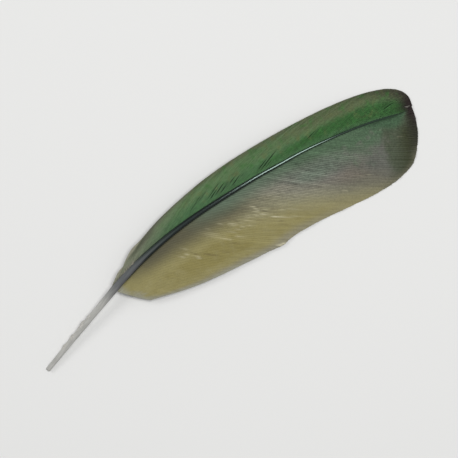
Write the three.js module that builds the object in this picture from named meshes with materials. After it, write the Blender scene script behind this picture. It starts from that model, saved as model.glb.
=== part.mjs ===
// A green parrot's wing feather, lying with its upper side up: a quill that runs on as the shaft, a narrow
// outer vane and a wide inner vane. The shaft is bowed, and the vanes droop from it: the feather rests on the
// quill's end, along the inner vane's edge and on its tip.
// Millimetres, +Z up. +X runs from the quill's end to the feather's tip, and +Y points to the outer vane.
// The plan is drawn from the quill's end, and the finished group is moved so that the origin is the middle of
// the box that holds the feather, at the height of the surface under it.

import * as THREE from "three";

// The shaft's centreline, from the quill's end to the last barbs: a straight quill, then one bow.
const QUILL_END = new THREE.Vector3(0, -0.24, 0.584);
const FIRST_BARBS = new THREE.Vector3(29.5, 7.5, 3.3);
const SHAFT_TIP = new THREE.Vector3(127, 0.7, 0.35);
const BOW_START_REACH = 26; // how far the bow keeps the quill's direction
const BOW_END_HANDLE = new THREE.Vector3(90.5, 12, 6.1); // where the bow heads from, into the tip

// Half the shaft's width along its length, and its depth as a share of its width.
const QUILL_END_HALF_WIDTH = 0.67;
const FIRST_BARBS_HALF_WIDTH = 1.06;
const SHAFT_TIP_HALF_WIDTH = 0.17;
const QUILL_TAPER = 1.6;
const SHAFT_TAPER = 1.5;
const SHAFT_DEPTH_SHARE = 0.92;
const SHAFT_SIDES = 12;
const QUILL_STEPS = 16;
const SHAFT_STEPS = 34;
const END_ROUNDING = [0.55, 0.85]; // the share of the full width on the rings that round the quill's end
const END_ROUNDING_LENGTH = 0.35;

// Scraps of dried sheath on the quill's outer side: where each starts, is highest and ends along the quill.
const SHEATH_SCRAPS = [
  { start: 7.3, peak: 8.5, end: 10.2, height: 0.32 },
  { start: 10.5, peak: 12.3, end: 13.6, height: 0.32 },
  { start: 13.7, peak: 17.5, end: 18.3, height: 0.45 },
  { start: 18.5, peak: 19.5, end: 20.9, height: 0.2 },
];

// The vanes: barbs run from the shaft to the edge, and lie in locks that read as ridges.
const ROOT_GAP = 0.1; // between the shaft's side and the barbs' roots
const ROOT_RISE_SHARE = 0.3; // of the shaft's half width, above its centreline
const WEB_THICKNESS = 0.35;
const RIDGE_HEIGHT = 0.4; // what a lock's middle adds to the web, at most
const RIDGE_PEAK_SHARE = 0.3; // of the barb's length, where the ridge is highest
const RIDGE_AT_EDGE_SHARE = 0.4; // of its height
const NOTCH_DEPTH = 0.45; // how far the edge steps back between two locks
const DROOP_POWER = 1.4; // over 1, so that a barb leaves the shaft level and steepens towards its tip
const BARB_STEPS = 10;

// Each vane's edge, from the first barb's tip round to the feather's tip, as points along and across the
// plan. The sweep sets how far towards the tip a barb reaches, at the base of the vane and less so along it.
// The droop is how far a barb's tip comes down for each millimetre that the barb is long.
const OUTER_VANE = {
  side: 1,
  locks: 30,
  sweepAtBase: 1.95,
  sweepLoss: 0.4,
  barbBend: 0.05,
  droopAtBase: 0.07,
  droopAtTip: 0.19,
  edge: [
    [34, 11.2],
    [40, 13.9],
    [52, 16.6],
    [70, 18.1],
    [90, 17.1],
    [110, 14.2],
    [121, 11.2],
    [127, 8.2],
    [129.6, 5.2],
    [130, 3],
    [129.3, 0.9],
  ],
};
const INNER_VANE = {
  side: -1,
  locks: 36,
  sweepAtBase: 2.2,
  sweepLoss: 0.5,
  barbBend: 0.06,
  droopAtBase: 0.135,
  droopAtTip: 0.16,
  edge: [
    [36, -1.1],
    [50, -5.6],
    [73, -9.6],
    [88, -10.7],
    [104, -13.7],
    [114, -14.5],
    [120, -12.7],
    [125.5, -7],
    [128.4, -1.9],
    [129, 0.4],
  ],
};

const SHAFT_MATERIAL = new THREE.MeshStandardMaterial({ color: 0x4a4648, roughness: 0.35, metalness: 0 });
const OUTER_VANE_MATERIAL = new THREE.MeshStandardMaterial({ color: 0x527a48, roughness: 0.6, metalness: 0 });
const INNER_VANE_MATERIAL = new THREE.MeshStandardMaterial({ color: 0x86805f, roughness: 0.6, metalness: 0 });

const UP = new THREE.Vector3(0, 0, 1);

// The shaft's line: a straight quill that runs on, with no kink, into the bow.
function shaftLine() {
  const quillDirection = FIRST_BARBS.clone().sub(QUILL_END).normalize();
  const startHandle = FIRST_BARBS.clone().addScaledVector(quillDirection, BOW_START_REACH);
  return {
    quill: new THREE.LineCurve3(QUILL_END, FIRST_BARBS),
    bow: new THREE.CubicBezierCurve3(FIRST_BARBS, startHandle, BOW_END_HANDLE, SHAFT_TIP),
  };
}

const LINE = shaftLine();

// Half the width of the barbed shaft, at a share of its length from the first barbs to its tip.
function shaftHalfWidth(share) {
  return THREE.MathUtils.lerp(SHAFT_TIP_HALF_WIDTH, FIRST_BARBS_HALF_WIDTH, (1 - share) ** SHAFT_TAPER);
}

// How far the sheath scraps stand proud at a distance along the quill.
function sheathRise(distance) {
  const scrap = SHEATH_SCRAPS.find(({ start, end }) => distance > start && distance < end);
  if (!scrap) return 0;
  const { start, peak, end, height } = scrap;
  return height * (distance < peak ? (distance - start) / (peak - start) : (end - distance) / (end - peak));
}

// The rings that the shaft is skinned over: a centre, a direction, half a width and the sheath's rise.
function shaftRings() {
  const rings = [];
  const quillLength = LINE.quill.getLength();
  const quillDirection = LINE.quill.getTangentAt(0);
  END_ROUNDING.forEach((share, i) => {
    const distance = (END_ROUNDING_LENGTH * i) / END_ROUNDING.length;
    const centre = QUILL_END.clone().addScaledVector(quillDirection, distance);
    rings.push({ centre, direction: quillDirection, half: QUILL_END_HALF_WIDTH * share, rise: 0 });
  });
  const even = Array.from({ length: QUILL_STEPS }, (_, i) => (quillLength * i) / QUILL_STEPS);
  const corners = SHEATH_SCRAPS.flatMap(({ start, peak, end }) => [start, peak, end]);
  const distances = [...even.map((d) => Math.max(d, END_ROUNDING_LENGTH)), ...corners].sort((a, b) => a - b);
  for (const distance of distances) {
    const share = distance / quillLength;
    rings.push({
      centre: LINE.quill.getPointAt(share),
      direction: quillDirection,
      half: THREE.MathUtils.lerp(QUILL_END_HALF_WIDTH, FIRST_BARBS_HALF_WIDTH, share ** QUILL_TAPER),
      rise: sheathRise(distance),
    });
  }
  for (let i = 0; i <= SHAFT_STEPS; i++) {
    const share = i / SHAFT_STEPS;
    rings.push({
      centre: LINE.bow.getPointAt(share),
      direction: LINE.bow.getTangentAt(share),
      half: shaftHalfWidth(share),
      rise: 0,
    });
  }
  return rings;
}

// One point of a ring, at an angle from its outer side over its top.
function ringPoint(ring, angle) {
  const across = UP.clone().cross(ring.direction).normalize();
  const above = ring.direction.clone().cross(across);
  const outward = Math.max(0, Math.cos(angle)) ** 2;
  return ring.centre
    .clone()
    .addScaledVector(across, Math.cos(angle) * (ring.half + ring.rise * outward))
    .addScaledVector(above, Math.sin(angle) * ring.half * SHAFT_DEPTH_SHARE);
}

// A closed solid from lists of points and of corner triples.
function solidGeometry(points, triangles) {
  const geometry = new THREE.BufferGeometry().setFromPoints(points);
  geometry.setIndex(triangles.flat());
  geometry.computeVertexNormals();
  return geometry;
}

// The quill and shaft, skinned over their rings and closed at both ends.
function shaftGeometry() {
  const rings = shaftRings();
  const points = rings.flatMap((ring) =>
    Array.from({ length: SHAFT_SIDES }, (_, k) => ringPoint(ring, (2 * Math.PI * k) / SHAFT_SIDES)),
  );
  const corner = (i, k) => i * SHAFT_SIDES + (k % SHAFT_SIDES);
  const last = rings.length - 1;
  const quillCap = points.push(rings[0].centre) - 1;
  const tipCap = points.push(rings[last].centre) - 1;
  const triangles = [];
  for (let k = 0; k < SHAFT_SIDES; k++) {
    triangles.push([quillCap, corner(0, k + 1), corner(0, k)]);
    triangles.push([tipCap, corner(last, k), corner(last, k + 1)]);
    for (let i = 0; i < last; i++) {
      triangles.push([corner(i, k), corner(i, k + 1), corner(i + 1, k)]);
      triangles.push([corner(i, k + 1), corner(i + 1, k + 1), corner(i + 1, k)]);
    }
  }
  return solidGeometry(points, triangles);
}

// Where a barb leaves the shaft, and where its tip is, at a share of the barbed shaft's length.
function barbEnds(vane, edge, share) {
  const centre = LINE.bow.getPointAt(share);
  const across = UP.clone().cross(LINE.bow.getTangentAt(share)).normalize();
  const half = shaftHalfWidth(share);
  const root = centre.clone().addScaledVector(across, vane.side * (half + ROOT_GAP));
  root.z += half * ROOT_RISE_SHARE;
  const reach = 1 - (1 - share) ** (vane.sweepAtBase - vane.sweepLoss * share);
  const droop = THREE.MathUtils.lerp(vane.droopAtBase, vane.droopAtTip, share);
  return { root, tip: edge.getPointAt(reach), droop };
}

// A barb's line at a share of its length: it leaves the shaft steeply, bends towards the feather's tip and
// droops, down to the surface where it is long enough.
function barbPoint(vane, { root, tip, droop }, share) {
  const run = tip.clone().setZ(root.z).sub(root);
  const aside = new THREE.Vector3(-run.y, run.x, 0).multiplyScalar(vane.side);
  const bend = vane.barbBend * (1 - (2 * share - 1) ** 2);
  const point = root.clone().addScaledVector(run, share).addScaledVector(aside, bend);
  return point.setZ(Math.max(0, root.z - droop * run.length() * share ** DROOP_POWER));
}

// How far a lock's middle stands above the web at a share of the barb's length: nothing at the root, most at
// the ridge's peak.
function ridgeHeight(share) {
  if (share < RIDGE_PEAK_SHARE) return (RIDGE_HEIGHT * share) / RIDGE_PEAK_SHARE;
  const fall = (share - RIDGE_PEAK_SHARE) / (1 - RIDGE_PEAK_SHARE);
  return RIDGE_HEIGHT * THREE.MathUtils.lerp(1, RIDGE_AT_EDGE_SHARE, fall);
}

// A vane: locks of barbs side by side, each thickest along its middle, joined in one closed sheet.
function vaneGeometry(vane) {
  const edge = new THREE.CatmullRomCurve3(vane.edge.map(([x, y]) => new THREE.Vector3(x, y, 0)));
  const columns = 2 * vane.locks;
  const shares = Array.from({ length: BARB_STEPS + 1 }, (_, j) => j / BARB_STEPS);
  const under = [];
  const over = [];
  for (let i = 0; i <= columns; i++) {
    const ends = barbEnds(vane, edge, i / columns);
    const middleOfLock = i % 2 === 1;
    const betweenLocks = !middleOfLock && i > 0 && i < columns;
    if (betweenLocks) {
      const run = ends.tip.clone().sub(ends.root).setZ(0);
      ends.tip.addScaledVector(run.normalize(), -NOTCH_DEPTH);
    }
    for (const share of shares) {
      const point = barbPoint(vane, ends, share);
      const ridge = middleOfLock ? ridgeHeight(share) : 0;
      under.push(point);
      over.push(point.clone().setZ(point.z + WEB_THICKNESS + ridge));
    }
  }
  return solidGeometry([...over, ...under], sheetTriangles(columns, shares.length, vane.side < 0));
}

// The triangles of a closed sheet: its upper and lower grids of points and the rim between them.
function sheetTriangles(columns, rows, mirrored) {
  const upper = (i, j) => i * rows + j;
  const lower = (i, j) => (columns + 1) * rows + upper(i, j);
  const triangles = [];
  const quad = (a, b, c, d) => triangles.push([a, b, c], [a, c, d]);
  const lastRow = rows - 1;
  for (let i = 0; i < columns; i++) {
    for (let j = 0; j < lastRow; j++) {
      quad(upper(i, j), upper(i + 1, j), upper(i + 1, j + 1), upper(i, j + 1));
      quad(lower(i, j), lower(i, j + 1), lower(i + 1, j + 1), lower(i + 1, j));
    }
    quad(lower(i, 0), lower(i + 1, 0), upper(i + 1, 0), upper(i, 0));
    quad(upper(i, lastRow), upper(i + 1, lastRow), lower(i + 1, lastRow), lower(i, lastRow));
  }
  for (let j = 0; j < lastRow; j++) {
    quad(upper(0, j), upper(0, j + 1), lower(0, j + 1), lower(0, j));
    quad(lower(columns, j), lower(columns, j + 1), upper(columns, j + 1), upper(columns, j));
  }
  return mirrored ? triangles.map(([a, b, c]) => [a, c, b]) : triangles;
}

function namedMesh(name, geometry, material) {
  const mesh = new THREE.Mesh(geometry, material);
  mesh.name = name;
  return mesh;
}

const feather = new THREE.Group();
feather.add(
  namedMesh("shaft", shaftGeometry(), SHAFT_MATERIAL),
  namedMesh("outer_vane", vaneGeometry(OUTER_VANE), OUTER_VANE_MATERIAL),
  namedMesh("inner_vane", vaneGeometry(INNER_VANE), INNER_VANE_MATERIAL),
);

const box = new THREE.Box3().setFromObject(feather);
const middle = box.getCenter(new THREE.Vector3());
feather.position.set(-middle.x, -middle.y, -box.min.z);

export default feather;
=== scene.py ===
"""A green parrot's wing feather, lying with its upper side up on a pale floor.

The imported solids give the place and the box. Each vane is made again as single barbs that lie side by side,
and the shaft as a grooved horn rod with a bare quill. Plan sizes are in millimetres, measured along from the
quill's end and across towards the outer vane, and every mesh is in metres in the row frame.
"""
import math

import bpy
import numpy as np
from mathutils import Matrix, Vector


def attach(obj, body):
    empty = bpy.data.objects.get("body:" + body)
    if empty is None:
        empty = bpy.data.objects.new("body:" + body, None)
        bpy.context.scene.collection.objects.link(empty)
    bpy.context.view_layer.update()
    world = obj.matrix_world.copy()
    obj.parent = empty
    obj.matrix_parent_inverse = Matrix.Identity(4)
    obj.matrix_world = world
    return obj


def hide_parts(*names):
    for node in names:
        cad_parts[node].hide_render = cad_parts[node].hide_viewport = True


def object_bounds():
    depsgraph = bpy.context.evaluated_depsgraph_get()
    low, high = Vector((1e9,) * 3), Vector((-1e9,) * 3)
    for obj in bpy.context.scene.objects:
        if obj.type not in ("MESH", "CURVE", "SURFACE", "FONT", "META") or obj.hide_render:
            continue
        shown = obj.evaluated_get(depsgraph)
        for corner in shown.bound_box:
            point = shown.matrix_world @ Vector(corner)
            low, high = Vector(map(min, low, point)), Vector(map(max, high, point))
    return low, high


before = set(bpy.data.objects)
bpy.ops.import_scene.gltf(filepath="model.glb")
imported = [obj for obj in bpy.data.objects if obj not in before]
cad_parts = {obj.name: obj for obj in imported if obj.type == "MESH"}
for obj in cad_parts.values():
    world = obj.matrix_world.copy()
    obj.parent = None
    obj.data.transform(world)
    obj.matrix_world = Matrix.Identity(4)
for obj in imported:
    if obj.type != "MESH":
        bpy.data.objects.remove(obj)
solid_low, solid_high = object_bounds()

MM = 0.001
SEED = 7
rng = np.random.default_rng(SEED)

# The shaft's line in the plan: a straight quill, then one bow from the first barbs to the tip.
QUILL_END = np.array([0.1, -0.22, 0.6])
FIRST_BARBS = np.array([29.5, 7.5, 3.3])
SHAFT_TIP = np.array([127, 0.7, 0.35])
BOW_START_REACH = 26
BOW_END_HANDLE = np.array([90.5, 12, 6.1])
QUILL_LENGTH = np.linalg.norm(FIRST_BARBS - QUILL_END)
QUILL_HEADING = (FIRST_BARBS - QUILL_END) / QUILL_LENGTH
QUILL_TURN = -math.atan2(QUILL_HEADING[1], QUILL_HEADING[0])  # turns the quill's heading to the frame's X
TANGENT_STEP = 0.002  # the share of the bow on each side of a place where its heading is taken
EDGE_MARGIN = np.array([0.08, 0.02])  # between the plan's edges and the solids' box

# Small bends that the shaft grew with: the share of the bow, the spread and the shift across.
SHAFT_BENDS = [(0.45, 0.16, -0.44), (0.6, 0.05, -0.16), (1.02, 0.09, -0.8)]

# Half the shaft's width along it, and its depth as a share of its width.
QUILL_END_HALF_WIDTH = 0.67
FIRST_BARBS_HALF_WIDTH = 1.06
SHAFT_TIP_HALF_WIDTH = 0.17
QUILL_TAPER = 1.6
SHAFT_TAPER = 1.5
SHAFT_DEPTH_SHARE = 0.92

# How the shaft is drawn, ring by ring.
SHAFT_SIDES = 24
SHAFT_SQUARENESS = 3.1  # 2 would be a round section
QUILL_STEPS = 16
BOW_STEPS = 60
QUILL_END_ROUNDING = [(0.12, 0.93), (0.1, 0.78), (0.06, 0.58)]  # each ring's step and its share of the width
QUILL_PIT = 0.5
QUILL_PIT_SHARE = 0.7  # the width of the pit's bottom, as a share of its mouth's
GROOVE_START = 0.02  # the shares of the bow between which a groove runs underneath
GROOVE_END = 0.62
GROOVE_RIM = 0.16
GROOVE_DEPTH = 0.3
UNDERSIDE = -0.9  # a face whose normal points further down than this is underneath

# Scraps of dried sheath along the quill: start, highest place and end along it, and how far each stands off.
SHEATH_SCRAPS = [
    (7.3, 8.5, 10.2, 0.32), (10.5, 12.3, 13.6, 0.32), (13.7, 17.5, 18.3, 0.45), (18.5, 19.5, 20.9, 0.2),
]
SCRAP_CELLS = (14, 10)
SCRAP_UNDER = math.radians(-55)  # how far round the quill a scrap reaches, from its outer side
SCRAP_OVER = math.radians(75)
SCRAP_CLEARANCE = 0.03
SCRAP_THICKNESS = 0.07
SCRAP_RAGGEDNESS = 0.16
SCRAP_BLUNTNESS = 0.08  # the share of a half wave that is cut off each end of a scrap
SCRAP_CURL = 1.3  # how late a scrap lifts off on the way to its highest place

# How the web hangs from the shaft.
ROOT_SINK = 0.12  # how far a barb's root is inside the shaft's side
ROOT_RISE_SHARE = 0.05  # its height above the shaft's middle, as a share of the shaft's half width
DROOP_POWER = 1.4
WEB_LIFT = 0.2  # of the web's middle above the solid's underside
LIFT_START = 0.18  # the share of a barb over which it rises to that
FLOOR_SOFTNESS = 0.35  # over which a drooping barb levels out on the floor
FLOOR_GAP = 0.01  # the least height of any barb
SLOWEST_SWING = 0.6  # the least rate of a random swing, as a share of the rate asked for
SWING_SPREAD = 0.8  # and how much chance adds to it

# Ruffles of the web: the height, the swings along the shaft, and from and to along a barb.
RUFFLES = [(0.09, 16, 0.05, 0.5), (0.05, 40, 0.3, 1)]

# A barb across its pitch, from the edge of its web nearer the quill, over the top and back underneath: the
# share of the pitch and the height in millimetres. The edge nearer the tip lies over the next barb's web.
BARB_SECTION = np.array([
    (-0.55, -0.012),
    (-0.55, 0.008),
    (-0.17, 0.03),
    (-0.07, 0.085),
    (0.07, 0.085),
    (0.17, 0.04),
    (0.58, 0.05),
    (0.58, 0.03),
    (0.1, -0.015),
    (0, -0.12),
    (-0.1, -0.025),
])
RIB_SHARE = 0.17  # of the pitch, from a barb's middle to the foot of its rib
RIB_CORE = 0.04  # of the pitch, from a barb's middle to the edge of its rib's pale top
TIP_POINT = 0.6  # how far a barb's point goes on past its last ring, in steps
TIP_STEPS = [0.94, 0.957, 0.972, 0.984, 0.993, 1]  # shares of a barb's length, closer together at its tip
BARB_STEPS = np.concatenate([np.linspace(0, 0.92, 24), TIP_STEPS])
FRINGE_START = 0.97  # the share of a barb where its web begins to narrow
FRINGE_WIDTH = 0.88  # the web's share of its width at the barb's tip
LENGTH_SPREAD = 0.0015  # of a barb's length, at random
TIP_STRAY = 0.04  # of the pitch, how far a barb's tip strays to a side
STRAY_POWER = 4  # how late along a barb it strays
BASE_CROWDING = 0.9  # how much closer the barbs stand at the quill, where they fan out
CROWDING_POWER = 3  # how soon along the shaft they stand evenly
LEAST_SECTION = 0.1  # the share of a barb's section that is left where it has no relief
OUTER_RELIEF = 0.55  # how strongly the outer vane's ribs stand out, from 0 to 1
INNER_RELIEF = 0.04  # the same for the inner vane, away from its coarse patch
COARSE_PATCH = (0.57, 0.26, 0.19, 0.32)  # the middle along the shaft and the barb, and the spread of each

# A barb's strip on the flat map: its side margins, and how far its end rings and points are from its ends.
STRIP_MARGIN = 0.04
STRIP_RING = 0.01
STRIP_POINT = 0.002

# The vanes: how their barbs sweep towards the tip, bend and droop, and their edges' corners in the plan.
OUTER_VANE = {
    "name": "outer_vane",
    "side": 1,
    "barbs": 140,
    "sweep_at_base": 1.95,
    "sweep_loss": 0.4,
    "bend": 0.05,
    "droop_at_base": 0.07,
    "droop_at_tip": 0.19,
    "edge": [
        (31, 9.4), (33.2, 10.8), (35.4, 11.3), (36.4, 11.5), (38.3, 13.1), (40.4, 14),
        (43, 14.4), (52, 16.4), (70, 18.1), (90, 17.1), (110, 14.2),
        (121, 11.2), (127, 8.2), (129.6, 5.2), (130, 3), (129.4, 0.5),
    ],
}
INNER_VANE = {
    "name": "inner_vane",
    "side": -1,
    "barbs": 140,
    "sweep_at_base": 1.9,
    "sweep_loss": 0.4,
    "bend": 0.025,
    "droop_at_base": 0.135,
    "droop_at_tip": 0.16,
    "edge": [
        (36, -1.1), (50, -5.6), (72, -9.6), (76.2, -10.4), (78.4, -10.1), (83, -10.2), (88, -10.8),
        (104, -13.65), (108, -14.15), (114, -14.32), (120.3, -12.85),
        (125.85, -7.15), (128.5, -1.9), (129.2, 0.9),
    ],
}

# Where the outer vane's web has parted between two barbs, which sinks the web there and makes it dark, partly
# with painted shade in the gap and partly for the darker barb bases that show. Each gives the share along the
# shaft, then from and to along a barb, and how open it is.
PARTINGS = [
    (0.285, 0.1, 0.4, 0.5), (0.3, 0.2, 0.42, 0.45),
    (0.34, 0.12, 0.4, 0.7), (0.355, 0.06, 0.27, 1), (0.37, 0.1, 0.32, 1), (0.392, 0.06, 0.24, 1),
    (0.41, 0.14, 0.3, 1), (0.432, 0.07, 0.26, 1), (0.445, 0.14, 0.26, 0.8),
    (0.516, 0.08, 0.28, 1), (0.532, 0.05, 0.34, 1), (0.549, 0.04, 0.2, 0.6),
    (0.657, 0.2, 0.36, 1), (0.672, 0.24, 0.38, 0.6),
    (0.872, 0.45, 0.6, 0.5), (0.885, 0.38, 0.68, 1),
]
PARTING_DEPTH = 0.25
PARTING_SPREAD = 0.0037  # of the shaft's length, to each side
PARTING_OPENS = 0.06  # the share of a barb over which a parting opens, and over which it closes
PARTING_CLOSES = 0.1

# Flecks on the inner vane, each on one ruffled barb: a painted glint where a lifted barb catches the light,
# or painted shade where the strength is below 0 and the barb is lowered, and at the edge two that make a pale
# curl. Each gives the share along the shaft and along the barb, half its length as a share of the barb, and
# the strength.
FLECKS = [
    (0.361, 0.573, 0.04, 0.9), (0.362, 0.65, 0.05, 0.4), (0.364, 0.72, 0.05, 0.25),
    (0.402, 0.59, 0.05, 0.25), (0.368, 0.45, 0.024, 0.7), (0.378, 0.375, 0.022, 0.6),
    (0.377, 0.457, 0.018, 0.4), (0.374, 0.36, 0.02, 0.3), (0.388, 0.32, 0.022, 0.35),
    (0.394, 0.275, 0.02, 0.35), (0.347, 0.37, 0.03, 0.2), (0.333, 0.415, 0.03, 0.3),
    (0.313, 0.33, 0.028, 0.4), (0.303, 0.432, 0.02, 0.35), (0.292, 0.44, 0.02, 0.3),
    (0.311, 0.49, 0.022, 0.3), (0.268, 0.535, 0.025, 0.4), (0.254, 0.425, 0.03, 0.35),
    (0.251, 0.47, 0.025, 0.25), (0.268, 0.29, 0.07, 0.12), (0.26, 0.3, 0.08, 0.15),
    (0.252, 0.33, 0.07, 0.12), (0.174, 0.43, 0.025, 0.45), (0.169, 0.48, 0.025, 0.4),
    (0.164, 0.312, 0.03, 0.35), (0.172, 0.325, 0.02, 0.4), (0.191, 0.235, 0.035, 0.2),
    (0.514, 0.725, 0.014, 0.4), (0.609, 0.715, 0.02, 0.2), (0.596, 0.665, 0.02, 0.15),
    (0.787, 0.775, 0.03, 0.15), (0.833, 0.43, 0.03, 0.1), (0.246, 0.975, 0.03, 1), (0.25, 0.985, 0.02, 0.8),
    (0.18, 0.39, 0.03, -0.5), (0.185, 0.54, 0.08, -0.45), (0.204, 0.62, 0.06, -0.3),
    (0.237, 0.56, 0.05, -0.3), (0.423, 0.18, 0.022, -0.7), (0.333, 0.253, 0.03, -0.4),
    (0.324, 0.305, 0.02, -0.5), (0.382, 0.42, 0.035, -0.5), (0.396, 0.45, 0.03, -0.45),
    (0.398, 0.315, 0.02, -0.3), (0.336, 0.49, 0.03, -0.3), (0.342, 0.68, 0.03, -0.35),
    (0.323, 0.74, 0.03, -0.4),
]
FLECK_SPREAD = 0.003  # of the shaft's length, to each side
FLECK_LIFT = 0.12
STRAY_FLECKS = 16
STRAY_FLECK_ZONE = (0.33, 0.42, 0.06, 0.1)  # the middle along the shaft and the barb, and the spread of each
STRAY_FLECK_LENGTHS = (0.012, 0.03)
STRAY_FLECK_STRENGTHS = (0.1, 0.35)

# Loose down where the outer vane begins.
DOWN_STRANDS = 150
DOWN_STEPS = 9
DOWN_LAST_ROOT = 0.085  # the share of the bow where the last strands grow
DOWN_REACH = (1.2, 2.9)
DOWN_FIRST_SHARE = 0.65  # of that reach for a strand at the first barbs
DOWN_SHARE_GAIN = 0.5  # and how much more it is at the last strands
DOWN_HEADING = math.radians(14)  # the shaft's, from which a strand turns away
DOWN_LEAVE = (math.radians(25), math.radians(62))
DOWN_CURL = (math.radians(-70), math.radians(20))
DOWN_ARCH = 0.35  # the least height of a strand's arch
DOWN_ARCH_SPREAD = 0.5  # and how much chance adds to it
DOWN_SAG = 0.18  # of a strand's reach, at its tip
DOWN_RADIUS = 0.05
DOWN_THINNING = 0.75  # the share of its thickness that a strand loses
DOWN_SECTION = np.array([(1, 0), (0, 1), (-1, 0), (0, -1)])

# Pigments, as a screen shows them, 0 to 255.
PIGMENTS = {
    "leaf green": (74, 110, 72),
    "deep green": (53, 95, 48),
    "sage": (92, 121, 80),
    "olive": (92, 101, 73),
    "fern": (94, 107, 74),
    "moss": (103, 111, 70),
    "bright green": (58, 112, 50),
    "bottle green": (36, 60, 38),
    "blue green": (78, 102, 77),
    "grey green": (93, 109, 91),
    "celadon": (108, 119, 105),
    "straw": (147, 139, 92),
    "gold": (128, 117, 62),
    "wheat": (139, 130, 79),
    "pale straw": (158, 152, 116),
    "umber": (89, 86, 66),
    "ash": (140, 138, 117),
    "mauve": (114, 112, 105),
    "rose": (120, 114, 104),
    "cream": (124, 127, 108),
    "dun": (88, 92, 74),
    "drab": (41, 41, 30),
    "tip green": (75, 83, 65),
    "fir": (67, 94, 68),
    "shade green": (54, 59, 36),
    "slate": (97, 99, 91),
    "plum": (46, 38, 38),
    "dusk": (42, 34, 32),
    # painted shade in the gaps where the web has parted, with the darker barb bases that show there
    "parting": (19, 35, 18),
    # painted shade in the crease where the barbs leave the shaft
    "root crease shade": (27, 38, 32),
    # painted glints where ruffled barbs catch the light, and a pale curl at the edge
    "glint and pale curl": (212, 206, 176),
    "husk": (150, 149, 130),
    "rim": (142, 138, 118),
    # painted shade in the dips of ruffled barbs
    "ripple dip shade": (82, 70, 50),
    "chalk": (172, 170, 166),
    "lilac": (88, 86, 90),
    "horn": (24, 23, 27),
    # painted shade on the shaft's outer flank
    "pitch": (9, 11, 11),
    "black green": (10, 27, 11),
    "sheath": (186, 184, 178),
    "down": (170, 167, 150),
}

# How each vane is coloured: a ground, and pigments laid over it one by one. A pigment fills the zones given
# with it, where the weighted shares along the shaft and along the barb go from a start to an end.
OUTER_GROUND = "leaf green"
OUTER_LAYERS = [
    ("sage", [(0, 1, 0.08, 0.5)]),
    ("olive", [(0, 1, 0.55, 0.95)]),
    ("fern", [(0, 1, 0.3, 0.6), (1, 0, 0.42, 0.56), (1, 0, 0.85, 0.72)]),
    ("deep green", [(-1.75, 1, -0.62, -0.97), (0, 1, -0.02, 0.2)]),
    ("cream", [(1, 0.04, 0.27, 0.04)]),
    ("dun", [(1, 0, 0.04, 0.09), (1, 0, 0.16, 0.1), (0, 1, 0.15, 0.55)]),
    ("husk", [(-8, 1, 0, 0.3), (1, 0, 0.1, 0.06)]),
    ("rim", [(0, 1, 0.93, 1.08)]),
    ("bottle green", [(0, 1, 0.12, -0.1), (1, 0, 0.68, 0.8)]),
    ("dusk", [(0.9, 1, 1.3, 1.9)]),
    ("dusk", [(1, 0.12, 0.96, 1.06)]),
    ("mauve", [(1, 0, 0.96, 0.971), (1, 0, 0.991, 0.979), (0, 1, 0.58, 0.72), (0, 1, 0.89, 0.82)]),
]
INNER_GROUND = "straw"
INNER_LAYERS = [
    ("wheat", [(1, 0, 0.05, 0.14), (1, 0, 0.3, 0.22), (0, 1, 0.36, 0.46), (0, 1, 0.8, 0.7)]),
    ("ash", [(1, -0.24, 0.14, 0.42)]),
    ("mauve", [(1, -0.15, 0.36, 0.54)]),
    ("umber", [(-0.4, 1, 0.32, -0.03), (1, 0, -0.02, 0.14), (1, 0, 0.5, 0.34)]),
    ("rose", [(1, 0, 0.54, 0.6), (1, 0, 0.7, 0.62), (0, 1, 0.44, 0.56), (0, 1, 0.76, 0.62)]),
    ("umber", [(1, 0, 0.42, 0.7), (1, 0, 0.76, 0.46), (0, 1, 0.45, 0.75)]),
    ("grey green", [(0, 1, 0.26, 0.02), (1, 0, 0.22, 0.4)]),
    ("blue green", [(1, -0.25, 0.46, 0.7)]),
    ("celadon", [(1, 0, 0.5, 0.58), (1, 0, 0.74, 0.62), (0, 1, 0.1, 0.28), (0, 1, 0.5, 0.3)]),
    ("slate", [(1, 0, 0.59, 0.67), (1, 0, 0.82, 0.74), (0, 1, 0.48, 0.64)]),
    ("tip green", [(2, 1, 2.08, 2.17), (1, 0, 0.59, 0.65)]),
    ("fir", [(1, 0, 0.8, 0.87), (0, 1, 0.85, 0.6)]),
    ("bottle green", [(1, -0.17, 0.8, 0.91)]),
    ("shade green", [(1, 1, 1.47, 1.66), (1, 0, 0.88, 0.8)]),
    ("drab", [(1, 1, 1.6, 1.78)]),
    ("plum", [(1, 0.5, 1.3, 1.4)]),
    ("dusk", [(1, 0.1, 0.985, 1.06)]),
    ("rim", [(0, 1, 0.82, 0.97), (1, 0, 0.55, 0.2)]),
    ("rim", [(0, 1, 0.92, 1.12), (1, 0, 0.48, 0.58), (1, 0, 0.78, 0.68)]),
    ("husk", [(0, 1, 0.9, 1), (1, 0, 0.3, 0.1)]),
    ("husk", [(1, 0, 0.025, 0)]),
]
ZONE_WANDER = 0.06  # how far the line of a layer's zone strays
WANDER_FINENESS = (26, 4, 1)  # swings of that line along the shaft and along a barb

# Soft patches of two pigments: the most that they cover, and the zones that they keep to.
OUTER_MOTTLES = [
    ("moss", "bright green", 0.65, [(1, 0, 0.1, 0.3), (1, 0, 0.94, 0.8), (0, 1, 0, 0.3)]),
]
INNER_MOTTLES = [
    ("gold", "pale straw", 0.25, [(1, 0, 0.55, 0.3), (0, 1, 0.15, 0.45)]),
    ("mauve", "blue green", 0.5,
     [(1, 0, 0.56, 0.7), (1, 0, 0.9, 0.8), (0, 1, 0.12, 0.35), (0, 1, 0.85, 0.6)]),
]
MOTTLE_FINENESS = (450, 450, 60)  # patches to a metre each way
MOTTLE_FULL = 0.3  # where the noise gives a mottle its full share

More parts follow.
